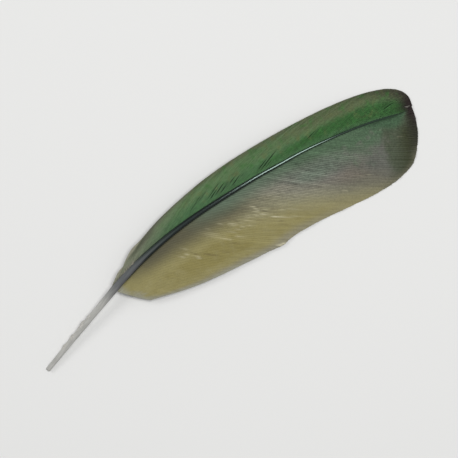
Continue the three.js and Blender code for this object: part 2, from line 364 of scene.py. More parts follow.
# Painted shade in the crease along the barbs' roots: from and to where it begins on the shaft, its first and
# later width.
OUTER_ROOT_SHADE = (0.06, 0.13, 0.65, 0.65)
INNER_ROOT_SHADE = (0.01, 0.06, 0.65, 1.2)
ROOT_SHADE_CORE = 0.15  # how far from its root a barb is darkest
ROOT_SHADE_WIDENS = (0.2, 0.5)  # from and to along the shaft
ROOT_SHADE_FADES = (0.55, 0.7, 1.0, 0.8)  # from and to along the shaft, and the strength before and after
ROOT_SHADE_RETURNS = (0.82, 0.9, 0.0, 0.2)  # the same, for what is added to it

# How strongly each part of the barbs' grain shows, and its patches along the shaft, along a barb and by tone.
OUTER_GRAIN = {"Streaks": 0.4, "Rib": 0.2, "Tone": 0.3, "Barbules": 0.05, "Dashes": 1.4, "Specks": 0.65}
INNER_GRAIN = {"Streaks": 0.3, "Rib": 0.4, "Tone": 0.5, "Barbules": 0.05, "Dashes": 1.3, "Specks": 0.9}
STREAK_FINENESS = (95, 6, 3)
DASH_FINENESS = (120, 26, 9)
SPECK_FINENESS = (2300, 2300, 400)  # to a metre each way
DASHES_AT_TIP = (0.72, 0.92, 1.0, 2.2)  # from and to along the shaft, and the share before and after
SPECKS_AT_BASE = (0.35, 0.65, 0.25, 1.0)
SPECKS_AT_TIP = (0.7, 0.88, 1.0, 1.8)
BARBULE_RATE = 1600.0  # waves along a barb, in radians to its length
BARBULE_SLANT = -9.0  # and in radians to its pitch
BARBULE_HEIGHT = 0.15  # as a share of a rib's
BARB_ROUGHNESS = (0.42, 0.68)

# Bumps in the finishes: the strength, and the height in millimetres.
BARB_BUMP = (0.5, 0.06)
HORN_BUMP = (0.25, 0.04)
DRY_BUMP = (0.5, 0.05)

# The horn's finish changes over these stretches, in millimetres along the plan. Where two more numbers are
# given, they are the values before and after.
CHALK_ENDS = (22.2, 32.5)
# The paler back is partly the horn's own lilac and partly a painted highlight of its lit top; painted shade
# deepens the dark horn of the flanks, and more of it lies on the outer flank.
BACK_DARKENS = (30, 56)
BACK_NARROWS = (38, 52, 0.0, 0.24)
FLANKS_DARKEN = (34.5, 45)
OUTER_FLANK_SHADE_COMES = (34, 46, 0.0, 0.8)
OUTER_FLANK_SHADE_GOES = (80, 66)
TIP_GREENS = (76, 116)
GLOSS_COMES = (30, 64, 0.5, 0.11)
GLOSS_GOES = (101, 109, 0.0, 0.4)
BACK_EDGE = (0.3, 0.62)  # where the back turns into the flanks, as shares of the half width
OUTER_FLANK_EDGE = (0.1, 0.5)
OUTER_FLANK_LAG = 1.5  # how much further along the outer flank's side begins to darken
HORN_TINT = (0.73, 1, 0.87, 1)  # of its gloss

# Fibres in horn and in dry skin: their fineness along the quill as a share of that across it, to a metre.
HORN_FIBRES = {"Length": 0.1, "Fineness": 2400}
DRY_FIBRES = {"Length": 0.4, "Fineness": 3000}
FIBRE_RANGE = (0.3, 0.7)  # the values of that noise between which a shade changes
HORN_SHADES = (0.86, 1.12)
DRY_SHADES = (0.78, 1.12)
SPECK_ROUGHNESS = 0.12
SHEATH_ROUGHNESS = 0.75
DOWN_ROUGHNESS = 0.85
DRY_ROUGHNESS_SPREAD = 0.1

# The view straight down, in millimetres, turned so that the tip points up to the right.
VIEW_TURN = math.radians(-35.634)
VIEW_MIDDLE = (0.96, 0.59, 2.5)
VIEW_WIDTH = 130.72
LENS = 100
SENSOR = 36
NEAREST_SEEN = 10

# The studio, in metres and watts: each light's place, width, depth and power.
FLOOR_SIZE = 3
FLOOR_COLOUR = (0.8, 0.8, 0.79, 1)
SKY_STRENGTH = 0.33
LIGHTS = {
    "overhead": ((0.185, 0, 0.75), 0.38, 0.17, 3.5),
    "key": ((-0.35, 0.55, 0.5), 0.3, 0.3, 1.4),
}


def smooth(value, start, end):
    """0 before start and 1 after end, eased between them."""
    share = np.clip((value - start) / (end - start), 0, 1)
    return share * share * (3 - 2 * share)


def along(points):
    """A function that gives the place at any share of a line's length."""
    steps = np.linalg.norm(np.diff(points, axis=0), axis=1)
    shares = np.concatenate([[0], np.cumsum(steps)]) / steps.sum()
    return lambda share: np.stack([np.interp(share, shares, column) for column in points.T], -1)


def bow_points(count=600):
    """Points on the bow: one cubic curve that starts in the quill's direction."""
    handle = FIRST_BARBS + BOW_START_REACH * QUILL_HEADING
    t = np.linspace(0, 1, count)[:, None]
    near = (1 - t) ** 3 * FIRST_BARBS + 3 * (1 - t) ** 2 * t * handle
    return near + 3 * (1 - t) * t**2 * BOW_END_HANDLE + t**3 * SHAFT_TIP


def edge_points(corners, count=40):
    """Points on a smooth line through a vane's edge, each stretch paced by the root of its length."""
    corners = np.array(corners, float)
    ends = np.vstack([2 * corners[0] - corners[1], corners, 2 * corners[-1] - corners[-2]])
    t = np.linspace(0, 1, count, endpoint=False)[:, None]
    line = []
    for a, b, c, d in zip(ends, ends[1:], ends[2:], ends[3:]):
        before, here, after = (math.sqrt(np.linalg.norm(q - p)) for p, q in ((a, b), (b, c), (c, d)))
        leave = here * ((b - a) / before - (c - a) / (before + here) + (c - b) / here)
        arrive = here * ((c - b) / here - (d - b) / (here + after) + (d - c) / after)
        square = 3 * (c - b) - 2 * leave - arrive
        cube = 2 * (b - c) + leave + arrive
        line.append(b + leave * t + square * t**2 + cube * t**3)
    return np.vstack([*line, corners[-1:]])


EVEN_BOW = along(bow_points())
for vane in (OUTER_VANE, INNER_VANE):
    vane["edge_line"] = along(edge_points(vane["edge"]))

# The plan is moved so that its edges lie just inside the solids' box.
plan_high = edge_points(OUTER_VANE["edge"]).max(axis=0) + EDGE_MARGIN
PLAN_SHIFT = np.array([solid_high.x - plan_high[0] * MM, solid_high.y - plan_high[1] * MM, 0])


def placed(plan):
    """Points of the plan, in metres in the row frame."""
    return np.asarray(plan) * MM + PLAN_SHIFT


def bow_place(share):
    """The place on the bow at a share of its length, with the small bends that the shaft grew with."""
    place = EVEN_BOW(share)
    for middle, spread, shift in SHAFT_BENDS:
        place[..., 1] += shift * np.exp(-(((share - middle) / spread) ** 2))
    return place


def quill_half_width(share):
    """Half the bare quill's width, at a share of its length."""
    return QUILL_END_HALF_WIDTH + (FIRST_BARBS_HALF_WIDTH - QUILL_END_HALF_WIDTH) * share**QUILL_TAPER


def shaft_half_width(share):
    """Half the barbed shaft's width, at a share of its length."""
    return SHAFT_TIP_HALF_WIDTH + (FIRST_BARBS_HALF_WIDTH - SHAFT_TIP_HALF_WIDTH) * (1 - share) ** SHAFT_TAPER


def drift(share, swings, strands=5):
    """A smooth random line, mostly between -1 and 1, with about so many swings along the share."""
    rate = swings * (SLOWEST_SWING + SWING_SPREAD * rng.random(strands))
    start = rng.random(strands)
    waves = np.sin(2 * math.pi * (np.asarray(share)[..., None] * rate + start))
    return waves.sum(-1) / math.sqrt(strands)


def web_points(vane, root, barb):
    """Where the web lies in the plan, at shares along the shaft and along the barbs."""
    root = np.clip(root, 0, 1)
    centre = bow_place(root)
    ahead = bow_place(np.clip(root + TANGENT_STEP, 0, 1)) - bow_place(np.clip(root - TANGENT_STEP, 0, 1))
    ahead = ahead[..., :2] / np.linalg.norm(ahead[..., :2], axis=-1, keepdims=True)
    half = shaft_half_width(root)
    aside = vane["side"] * (half - ROOT_SINK)
    start = centre[..., :2] + aside[..., None] * np.stack([-ahead[..., 1], ahead[..., 0]], -1)
    height = centre[..., 2] + half * ROOT_RISE_SHARE
    reach = 1 - (1 - root) ** (vane["sweep_at_base"] - vane["sweep_loss"] * root)
    run = vane["edge_line"](reach) - start
    turned = vane["side"] * np.stack([-run[..., 1], run[..., 0]], -1)
    bend = vane["bend"] * (1 - (2 * barb - 1) ** 2)
    plan = start + run * barb[..., None] + turned * bend[..., None]
    droop = vane["droop_at_base"] + (vane["droop_at_tip"] - vane["droop_at_base"]) * root
    hang = height - droop * np.linalg.norm(run, axis=-1) * np.clip(barb, 0, None) ** DROOP_POWER
    level = (hang + np.sqrt(hang**2 + FLOOR_SOFTNESS**2)) / 2
    lift = WEB_LIFT * smooth(barb, 0, LIFT_START)
    return np.concatenate([plan, (level + lift)[..., None]], -1)


def tube_faces(tubes, steps, sides):
    """Corner numbers of tubes of so many sides and steps, each closed by a point at both ends."""
    ring = np.arange(sides)
    following = (ring + 1) % sides
    one = []
    for step in range(steps - 1):
        near, far = step * sides, (step + 1) * sides
        one += np.stack([near + ring, near + following, far + following, far + ring], -1).tolist()
    root, tip = steps * sides, steps * sides + 1
    last = (steps - 1) * sides
    one += np.stack([following, ring, np.full(sides, root)], -1).tolist()
    one += np.stack([last + ring, last + following, np.full(sides, tip)], -1).tolist()
    each = steps * sides + 2
    return [[corner + tube * each for corner in face] for tube in range(tubes) for face in one]


def capped(rings, point=0):
    """The rows of every tube's rings, each followed by the middle of its first and its last ring."""
    first, last = rings[:, 0].mean(axis=1), rings[:, -1].mean(axis=1)
    last = last + point * (last - rings[:, -2].mean(axis=1))
    tubes, width = len(rings), rings.shape[-1]
    rows = [rings.reshape(tubes, -1, width), first[:, None], last[:, None]]
    return np.concatenate(rows, 1).reshape(-1, width)


def strip_map(faces, tubes, steps, sides):
    """A flat map with a strip for each tube: its way round across, and its length up."""
    ring_corners = steps * sides
    each = ring_corners + 2
    map_corners = []
    for face in faces:
        tube = face[0] // each
        local = [corner % each for corner in face]
        turns = [corner % sides for corner in local if corner < ring_corners]
        wraps = 0 in turns and sides - 1 in turns
        for corner in local:
            if corner >= ring_corners:
                turn = sum(t + sides * (wraps and t == 0) for t in turns) / len(turns)
                height = STRIP_POINT if corner == ring_corners else 1 - STRIP_POINT
            else:
                turn = corner % sides + sides * (wraps and corner % sides == 0)
                height = STRIP_RING + (1 - 2 * STRIP_RING) * (corner // sides) / (steps - 1)
            across = STRIP_MARGIN + (1 - 2 * STRIP_MARGIN) * turn / sides
            map_corners.append(((tube + across) / tubes, height))
    return map_corners


def mesh_piece(name, points, faces, facts, map_corners):
    """An object of the points and faces, with a value on each point for every fact and a flat map."""
    mesh = bpy.data.meshes.new(name)
    mesh.from_pydata(points.tolist(), [], faces)
    for fact_name, values in facts.items():
        layer = mesh.attributes.new(fact_name, "FLOAT", "POINT")
        layer.data.foreach_set("value", np.asarray(values, np.float32).ravel())
    layer = mesh.uv_layers.new(name="OFBake")
    layer.uv.foreach_set("vector", np.asarray(map_corners, np.float32).ravel())
    mesh.shade_smooth()
    piece = bpy.data.objects.new(name, mesh)
    bpy.context.scene.collection.objects.link(piece)
    return piece


def barb_places(barbs, samples=501):
    """Where the barbs leave the shaft, and how much of the shaft each has, as shares."""
    share = np.linspace(0, 1, samples)
    closeness = 1 + BASE_CROWDING * (1 - share) ** CROWDING_POWER
    closeness /= closeness.mean()
    passed = np.concatenate([[0], np.cumsum((closeness[1:] + closeness[:-1]) / 2)])
    borders = np.interp(np.arange(barbs + 1) / barbs, passed / passed[-1], share)
    return (borders[1:] + borders[:-1]) / 2, np.diff(borders)


def parting_mask(root, barb, borders):
    """How open the outer vane's web is at each place, from 0 to 1. A parting follows two barbs' border."""
    mask = np.zeros(root.shape)
    for place, start, end, strength in PARTINGS:
        border = borders[np.abs(borders - place).argmin()]
        near = np.exp(-(((root - border) / PARTING_SPREAD) ** 2))
        rise = smooth(barb, start, start + PARTING_OPENS) * (1 - smooth(barb, end - PARTING_CLOSES, end))
        mask = np.maximum(mask, strength * near * rise)
    return mask


def fleck_mask(root, barb, middles):
    """The painted glint at each place of the inner vane, from 0 to 1, or its painted shade, from 0 to -1. A
    fleck lies on one barb.
    """
    middle_root, middle_barb, root_spread, barb_spread = STRAY_FLECK_ZONE
    strays = np.stack([
        rng.normal(middle_root, root_spread, STRAY_FLECKS),
        rng.normal(middle_barb, barb_spread, STRAY_FLECKS),
        rng.uniform(*STRAY_FLECK_LENGTHS, STRAY_FLECKS),
        rng.uniform(*STRAY_FLECK_STRENGTHS, STRAY_FLECKS),
    ], -1)
    mask = np.zeros(root.shape)
    for place, share, length, strength in [*FLECKS, *strays]:
        ridge = middles[np.abs(middles - place).argmin()]
        fleck = strength * np.exp(-(((root - ridge) / FLECK_SPREAD) ** 2) - ((barb - share) / length) ** 2)
        mask = np.where(np.abs(fleck) > np.abs(mask), fleck, mask)
    return mask


def relief_share(vane, root, barb):
    """How strongly the ribs stand out: softly, but for a coarse patch on the inner vane beside the shaft."""
    if vane["side"] > 0:
        return np.full(root.shape, OUTER_RELIEF)
    middle_root, middle_barb, root_spread, barb_spread = COARSE_PATCH
    away = ((root - middle_root) / root_spread) ** 2 + ((barb - middle_barb) / barb_spread) ** 2
    return INNER_RELIEF + (1 - INNER_RELIEF) * np.exp(-away)


def ruffle(root, barb):
    """How far the web stands off its even form, in millimetres."""
    stand = 0
    for height, swings, start, end in RUFFLES:
        stand = stand + height * drift(root, swings) * smooth(barb, start, end)
    return stand


def lay_barbs(vane):
    """A vane of single barbs, as one mesh."""
    barbs, sides, steps = vane["barbs"], len(BARB_SECTION), len(BARB_STEPS)
    middle, pitch = barb_places(barbs)
    tone = rng.random(barbs)
    length = 1 + LENGTH_SPREAD * rng.standard_normal(barbs)
    lean = TIP_STRAY * rng.uniform(-1, 1, barbs)[:, None] * BARB_STEPS**STRAY_POWER
    width = 1 - (1 - FRINGE_WIDTH) * smooth(BARB_STEPS, FRINGE_START, 1)
    across = BARB_SECTION[:, 0] * width[:, None]
    root = middle[:, None, None] + (across + lean[:, :, None]) * pitch[:, None, None]
    barb = np.broadcast_to(BARB_STEPS[None, :, None] * length[:, None, None], root.shape)
    relief = relief_share(vane, root, barb)
    facts = {"along_shaft": root, "along_barb": barb, "relief": relief}
    facts["across_barb"] = np.broadcast_to(BARB_SECTION[:, 0], root.shape)
    facts["barb_tone"] = np.broadcast_to(tone[:, None, None], root.shape)
    points = web_points(vane, root, barb)
    facts["from_shaft"] = np.linalg.norm(points - points[:, :1].mean(axis=2, keepdims=True), axis=-1)
    section = BARB_SECTION[:, 1] * (LEAST_SECTION + (1 - LEAST_SECTION) * relief)
    points[..., 2] += section + ruffle(root, barb)
    if vane["side"] > 0:
        facts["parting"] = parting_mask(root, barb, (middle[1:] + middle[:-1]) / 2)
        points[..., 2] -= PARTING_DEPTH * facts["parting"]
    else:
        facts["fleck"] = fleck_mask(root, barb, middle)
        points[..., 2] += FLECK_LIFT * facts["fleck"]
    points[..., 2] = np.maximum(points[..., 2], FLOOR_GAP)
    faces = tube_faces(barbs, steps, sides)
    if vane["side"] < 0:
        faces = [face[::-1] for face in faces]
    flat_map = strip_map(faces, barbs, steps, sides)
    facts = {name: capped(values[..., None])[..., 0] for name, values in facts.items()}
    return mesh_piece(vane["name"] + "_barbs", placed(capped(points, TIP_POINT)), faces, facts, flat_map)


def lay_down():
    """Soft strands that curl out from the shaft at the base of the outer vane, as one mesh."""
    root = DOWN_LAST_ROOT * rng.random(DOWN_STRANDS)
    grown = DOWN_FIRST_SHARE + DOWN_SHARE_GAIN * root / DOWN_LAST_ROOT
    reach = rng.uniform(*DOWN_REACH, DOWN_STRANDS) * grown
    leave = DOWN_HEADING + rng.uniform(*DOWN_LEAVE, DOWN_STRANDS)
    curl = rng.uniform(*DOWN_CURL, DOWN_STRANDS)
    arch = DOWN_ARCH + DOWN_ARCH_SPREAD * rng.random(DOWN_STRANDS)
    share = np.linspace(0, 1, DOWN_STEPS)
    angle = leave[:, None] + curl[:, None] * share
    step = reach[:, None] / (DOWN_STEPS - 1)
    first = bow_place(root)
    spread = np.stack([np.cumsum(np.cos(angle) * step, 1), np.cumsum(np.sin(angle) * step, 1)], -1)
    rise = arch[:, None] * np.sin(math.pi * share) - DOWN_SAG * reach[:, None] * share**2
    line = np.concatenate([first[:, None, :2] + spread, (first[:, 2:] + rise)[..., None]], -1)
    aside = np.stack([-np.sin(angle), np.cos(angle), np.zeros_like(angle)], -1)
    radius = DOWN_RADIUS * (1 - DOWN_THINNING * share)[None, :, None, None]
    ring = DOWN_SECTION[:, 0, None] * aside[:, :, None] + DOWN_SECTION[:, 1, None] * np.array([0, 0, 1])
    points = capped(line[:, :, None] + ring * radius, TIP_POINT)
    sides = len(DOWN_SECTION)
    faces = [face[::-1] for face in tube_faces(DOWN_STRANDS, DOWN_STEPS, sides)]
    flat_map = strip_map(faces, DOWN_STRANDS, DOWN_STEPS, sides)
    return mesh_piece("base_down", placed(points), faces, {}, flat_map)


def shaft_stations():
    """The middle of each of the shaft's rings in the plan, its heading and half width, from the quill on."""
    rounding = sum(reach for reach, share in QUILL_END_ROUNDING)
    quill_shares = np.linspace(rounding / QUILL_LENGTH, 1, QUILL_STEPS, endpoint=False)
    quill = QUILL_END + (FIRST_BARBS - QUILL_END) * quill_shares[:, None]
    bow_shares = np.linspace(0, 1, BOW_STEPS)
    middles = np.vstack([quill, bow_place(bow_shares)])
    ahead = np.gradient(middles, axis=0)
    headings = np.arctan2(ahead[:, 1], ahead[:, 0])
    return middles, headings, np.concatenate([quill_half_width(quill_shares), shaft_half_width(bow_shares)])


def square_ring(shaft, centre):
    """Fill the first ring's corners a little, which leaves the shaft a broad flat back."""
    for vertex in shaft.data.vertices:
        offset = np.array(vertex.co) - centre
        side, height = math.hypot(offset[0], offset[1]), abs(offset[2])
        fullness = (side**SHAFT_SQUARENESS + height**SHAFT_SQUARENESS) ** (1 / SHAFT_SQUARENESS)
        vertex.co = centre + offset * math.hypot(side, height) / fullness


def first_ring(centre, heading, radius):
    """The shaft's first ring, left in edit mode with all of it selected."""
    bpy.ops.object.select_all(action="DESELECT")
    bpy.ops.mesh.primitive_circle_add(
        vertices=SHAFT_SIDES, radius=radius, location=centre, rotation=(0, math.pi / 2, heading))
    shaft = bpy.context.object
    shaft.name = "quill_and_shaft"
    bpy.ops.object.transform_apply(location=True, rotation=True, scale=True)
    square_ring(shaft, centre)
    bpy.ops.object.mode_set(mode="EDIT")
    bpy.ops.mesh.select_mode(type="VERT")
    bpy.ops.mesh.select_all(action="SELECT")
    bpy.ops.transform.resize(value=(1, 1, SHAFT_DEPTH_SHARE), center_override=centre)
    return shaft


def extrude_ring(step, centre, growth, turn=0):
    """Extrude the selected ring by a step, then turn it in the plan and scale it about its new middle."""
    bpy.ops.mesh.extrude_edges_move(TRANSFORM_OT_translate={"value": step})
    # With no window the operator turns the other way.
    bpy.ops.transform.rotate(value=-turn, orient_axis="Z", center_override=centre)
    bpy.ops.transform.resize(value=(growth, growth, growth), center_override=centre)


def close_quill(centre, ahead):
    """Round the quill's open end off, and close it with a pit."""
    bpy.ops.mesh.select_all(action="DESELECT")
    bpy.ops.mesh.select_non_manifold()
    back = -ahead / np.linalg.norm(ahead)
    width = 1
    for reach, share in QUILL_END_ROUNDING:
        centre = centre + back * reach * MM
        extrude_ring(back * reach * MM, centre, share / width)
        width = share
    inward = -back * QUILL_PIT * MM
    extrude_ring(inward, centre + inward, QUILL_PIT_SHARE)
    bpy.ops.mesh.merge(type="CENTER")


def select_faces(piece, wanted):
    """Select only the faces of a piece in edit mode that a test of their middle and normal wants."""
    bpy.ops.mesh.select_all(action="DESELECT")
    bpy.ops.object.mode_set(mode="OBJECT")
    for face in piece.data.polygons:
        face.select = bool(wanted(face.center, face.normal))
    bpy.ops.object.mode_set(mode="EDIT")


def cut_groove(shaft):
    """The groove along the underside, from the first barbs until the shaft is thin."""
    start = placed(bow_place(GROOVE_START))[0]
    end = placed(bow_place(GROOVE_END))[0]
    select_faces(shaft, lambda middle, normal: normal.z < UNDERSIDE and start < middle.x < end)
    bpy.ops.mesh.inset(thickness=GROOVE_RIM * MM, depth=0)
    bpy.ops.transform.translate(value=(0, 0, GROOVE_DEPTH * MM))


def mark_across(mesh, middles, headings, halves):
    """Give each point its share of the way from the shaft's middle to its side, above 0 on the outer side."""
    plan = np.array([vertex.co[:2] for vertex in mesh.vertices])
    nearest = np.linalg.norm(plan[:, None] - middles, axis=-1).argmin(axis=1)
    offset = plan - middles[nearest]
    aside = offset[:, 1] * np.cos(headings[nearest]) - offset[:, 0] * np.sin(headings[nearest])
    layer = mesh.attributes.new("across_shaft", "FLOAT", "POINT")
    layer.data.foreach_set("value", (aside / halves[nearest]).astype(np.float32))


def model_shaft():
    """The quill and shaft: a tube drawn along the bow, closed at the tip, with a pit in the quill's end."""
    middles, headings, halves = shaft_stations()
    places = placed(middles)
    shaft = first_ring(places[0], headings[0], halves[0] * MM)
    for i in range(1, len(places)):
        turn = headings[i] - headings[i - 1]
        extrude_ring(places[i] - places[i - 1], places[i], halves[i] / halves[i - 1], turn)
    bpy.ops.mesh.merge(type="CENTER")
    close_quill(places[0], places[1] - places[0])
    bpy.ops.mesh.select_all(action="SELECT")
    bpy.ops.mesh.normals_make_consistent(inside=False)
    cut_groove(shaft)
    bpy.ops.object.mode_set(mode="OBJECT")
    bpy.ops.object.modifier_add(type="SUBSURF")
    rounding = shaft.modifiers[-1]
    rounding.levels = 1
    rounding.render_levels = 1
    bpy.ops.object.modifier_apply(modifier=rounding.name)
    bpy.ops.object.shade_smooth()
    mark_across(shaft.data, places[:, :2], headings, halves * MM)
    return shaft


def model_scrap(start, peak, end, height):
    """One curl of dried sheath: a ragged grid wrapped round the quill's outer side and lifted off it."""
    columns, rows = SCRAP_CELLS
    bpy.ops.object.select_all(action="DESELECT")
    bpy.ops.mesh.primitive_grid_add(x_subdivisions=columns, y_subdivisions=rows, size=1, location=(0, 0, 0))
    scrap = bpy.context.object
    outer_side = np.array([-QUILL_HEADING[1], QUILL_HEADING[0], 0]) / np.linalg.norm(QUILL_HEADING[:2])
    up = np.cross(QUILL_HEADING, outer_side)
    rag = SCRAP_RAGGEDNESS * rng.standard_normal((columns + 1, 2))
    for vertex in scrap.data.vertices:
        share, turn = vertex.co.x + 0.5, vertex.co.y + 0.5
        column = round(share * columns)
        place = start + (end - start) * share
        spread = math.sqrt(math.sin(math.pi * (SCRAP_BLUNTNESS + (1 - 2 * SCRAP_BLUNTNESS) * share)))
        low = SCRAP_UNDER * spread * (1 + rag[column, 0])
        high = SCRAP_OVER * spread * (1 + rag[column, 1])
        angle = low + (high - low) * turn
        rise = (place - start) / (peak - start) if place < peak else (end - place) / (end - peak)
        lift = height * max(0, rise) ** SCRAP_CURL * math.cos(angle) ** 2
        stand = quill_half_width(place / QUILL_LENGTH) + SCRAP_CLEARANCE + lift
        around = outer_side * math.cos(angle) + up * math.sin(angle) * SHAFT_DEPTH_SHARE
        vertex.co = placed(QUILL_END + QUILL_HEADING * place + stand * around)
    bpy.ops.object.modifier_add(type="SOLIDIFY")
    wall = scrap.modifiers[-1]
    wall.thickness = SCRAP_THICKNESS * MM
    wall.offset = 0
    bpy.ops.object.modifier_apply(modifier=wall.name)
    bpy.ops.object.shade_smooth()
    return scrap


def model_sheath():
    """All the scraps as one piece."""
    scraps = [model_scrap(*scrap) for scrap in SHEATH_SCRAPS]
    bpy.ops.object.select_all(action="DESELECT")
    for scrap in scraps:
        scrap.select_set(True)
    bpy.context.view_layer.objects.active = scraps[0]
    bpy.ops.object.join()
    scraps[0].name = "sheath_scraps"
    return scraps[0]


def shown(name):
    """A pigment as a shader takes it, off the standard curve of a screen."""
    return [((part / 255 + 0.055) / 1.055) ** 2.4 for part in PIGMENTS[name]] + [1]


def add(tree, kind, inputs=None, **settings):
    """A new node, with each input set to a value or joined to another node's output."""
    made = tree.nodes.new(kind)
    for name, value in settings.items():
        setattr(made, name, value)
    for name, value in (inputs or {}).items():
        if isinstance(value, bpy.types.NodeSocket):
            tree.links.new(value, made.inputs[name])
        else:
            made.inputs[name].default_value = value
    return made


def reckon(tree, operation, *values):
    """The result of one sum on values or outputs."""
    return add(tree, "ShaderNodeMath", dict(enumerate(values)), operation=operation).outputs[0]


def reckon_vector(tree, operation, inputs):
    """The result of one sum on vectors or colours."""
    return add(tree, "ShaderNodeVectorMath", inputs, operation=operation).outputs[0]


def ease(tree, value, start, end, low=0.0, high=1.0):
    """Low before start and high after end, eased between them."""
    places = {"Value": value, "From Min": start, "From Max": end, "To Min": low, "To Max": high}
    return add(tree, "ShaderNodeMapRange", places, interpolation_type="SMOOTHSTEP").outputs["Result"]


def multiply(tree, values):
    """All the values multiplied, which for masks is where they overlap."""
    product = values[0]
    for value in values[1:]:
        product = reckon(tree, "MULTIPLY", product, value)
    return product


def lay_over(tree, mask, below, above):
    """One colour laid over another where the mask is 1. A Mix node's sockets for colours are 6, 7 and 2."""
    sockets = {0: mask, 6: below, 7: above}
    return add(tree, "ShaderNodeMix", sockets, data_type="RGBA", clamp_factor=True).outputs[2]


def noise(tree, place, scale, detail):
    """Noise from 0 to 1 at a place."""
    return add(tree, "ShaderNodeTexNoise", {"Vector": place, "Scale": scale, "Detail": detail}).outputs["Fac"]


def noise_around_zero(tree, place, stretch, detail=2.0):
    """Noise from about -0.5 to 0.5 at a stretched place."""
    drawn = reckon_vector(tree, "MULTIPLY", {0: place, 1: stretch})
    return reckon(tree, "SUBTRACT", noise(tree, drawn, 1.0, detail), 0.5)


def fact(tree, name):
    """A value that the mesh carries on its points."""
    return add(tree, "ShaderNodeAttribute", attribute_name=name).outputs["Fac"]


def body_place(tree):
    """A place in the row frame, in metres."""
    return add(tree, "ShaderNodeTexCoord").outputs["Object"]


def new_group(name, inputs, outputs):
    """An empty node group with named number sockets, and its two end nodes."""
    group = bpy.data.node_groups.new(name, "ShaderNodeTree")
    for socket, value in inputs.items():
        made = group.interface.new_socket(socket, in_out="INPUT", socket_type="NodeSocketFloat")
        made.default_value = value
    for socket in outputs:
        group.interface.new_socket(socket, in_out="OUTPUT", socket_type="NodeSocketFloat")
    return group, group.nodes.new("NodeGroupInput").outputs, group.nodes.new("NodeGroupOutput").inputs


def pigment_zone_group():
    """A mask that rises where the weighted shares go from a start to an end, along a wandering line."""
    inputs = {"Shaft Weight": 1, "Barb Weight": 0, "Start": 0, "End": 1, "Wander": ZONE_WANDER}
    group, given, result = new_group("pigment zone", inputs, ["Mask"])
    shaft, barb = fact(group, "along_shaft"), fact(group, "along_barb")
    place = add(group, "ShaderNodeCombineXYZ", {"X": shaft, "Y": barb, "Z": 0.0}).outputs[0]
    stray = reckon(group, "MULTIPLY", noise_around_zero(group, place, WANDER_FINENESS), given["Wander"])
    value = reckon(group, "MULTIPLY_ADD", shaft, given["Shaft Weight"], stray)
    value = reckon(group, "MULTIPLY_ADD", barb, given["Barb Weight"], value)
    group.links.new(ease(group, value, given["Start"], given["End"]), result["Mask"])
    return group


def barb_grain_group():
    """The fine look of barbs: a paler rib, streaks, dashes, barbules, specks and each barb's own tone."""
    group, given, result = new_group("barb grain", OUTER_GRAIN, ["Shade", "Height", "Sheen Break"])
    shaft, barb, tone = fact(group, "along_shaft"), fact(group, "along_barb"), fact(group, "barb_tone")
    relief, across = fact(group, "relief"), reckon(group, "ABSOLUTE", fact(group, "across_barb"))
    place = add(group, "ShaderNodeCombineXYZ", {"X": shaft, "Y": barb, "Z": tone}).outputs[0]
    rib = multiply(group, [ease(group, across, RIB_CORE, RIB_SHARE, 1.0, 0.0), relief])
    streak = noise_around_zero(group, place, STREAK_FINENESS, 3.0)
    dash = noise_around_zero(group, place, DASH_FINENESS, 1.0)
    dash = multiply(group, [dash, relief, ease(group, shaft, *DASHES_AT_TIP)])
    speck = noise_around_zero(group, body_place(group), SPECK_FINENESS)
    speck = multiply(group, [speck, ease(group, shaft, *SPECKS_AT_BASE), ease(group, shaft, *SPECKS_AT_TIP)])
    wave = reckon(group, "MULTIPLY_ADD", across, BARBULE_SLANT, reckon(group, "MULTIPLY", barb, BARBULE_RATE))
    barbule = reckon(group, "SINE", wave)
    own = reckon(group, "MULTIPLY", reckon(group, "SUBTRACT", tone, 0.5), relief)
    parts = {"Rib": rib, "Streaks": streak, "Tone": own, "Barbules": barbule, "Dashes": dash, "Specks": speck}
    shade = 1.0
    for name, part in parts.items():
        shade = reckon(group, "MULTIPLY_ADD", part, given[name], shade)
    group.links.new(shade, result["Shade"])
    group.links.new(reckon(group, "MULTIPLY_ADD", barbule, BARBULE_HEIGHT, rib), result["Height"])
    group.links.new(reckon(group, "ADD", streak, 0.5), result["Sheen Break"])
    return group


def fibre_group():
    """Streaks and specks of dry horn, drawn out along the quill."""
    group, given, result = new_group("horn fibre", HORN_FIBRES, ["Fibre", "Speck"])
    turn = {"Vector": body_place(group), "Rotation": (0, 0, QUILL_TURN)}
    turned = add(group, "ShaderNodeMapping", turn).outputs[0]
    reach = add(group, "ShaderNodeCombineXYZ", {"X": given["Length"], "Y": 1.0, "Z": 1.0}).outputs[0]
    drawn = reckon_vector(group, "MULTIPLY", {0: turned, 1: reach})
    group.links.new(noise(group, drawn, given["Fineness"], 3.0), result["Fibre"])
    group.links.new(noise(group, turned, given["Fineness"], 4.0), result["Speck"])
    return group


PIGMENT_ZONE = pigment_zone_group()
BARB_GRAIN = barb_grain_group()
HORN_FIBRE = fibre_group()


def new_material(name, **constants):
    """A material with a Principled shader, and its values that are the same all over."""
    material = bpy.data.materials.new(name)
    material.use_nodes = True
    shader = material.node_tree.nodes["Principled BSDF"]
    for socket, value in constants.items():
        shader.inputs[socket.replace("_", " ")].default_value = value
    return material, material.node_tree, shader.inputs


def use_group(tree, group, values):
    """A node group placed in a material with its own values."""
    made = add(tree, "ShaderNodeGroup", node_tree=group)
    for socket, value in values.items():
        made.inputs[socket].default_value = value
    return made.outputs


def set_finish(tree, sockets, colour, shade, roughness, bump, height):
    """Join a shaded colour, a roughness and a bump of the height to a material's shader."""
    tree.links.new(reckon_vector(tree, "SCALE", {0: colour, "Scale": shade}), sockets["Base Color"])
    tree.links.new(roughness, sockets["Roughness"])
    strength, reach = bump
    raised = add(tree, "ShaderNodeBump", {"Strength": strength, "Distance": reach * MM, "Height": height})
    tree.links.new(raised.outputs[0], sockets["Normal"])


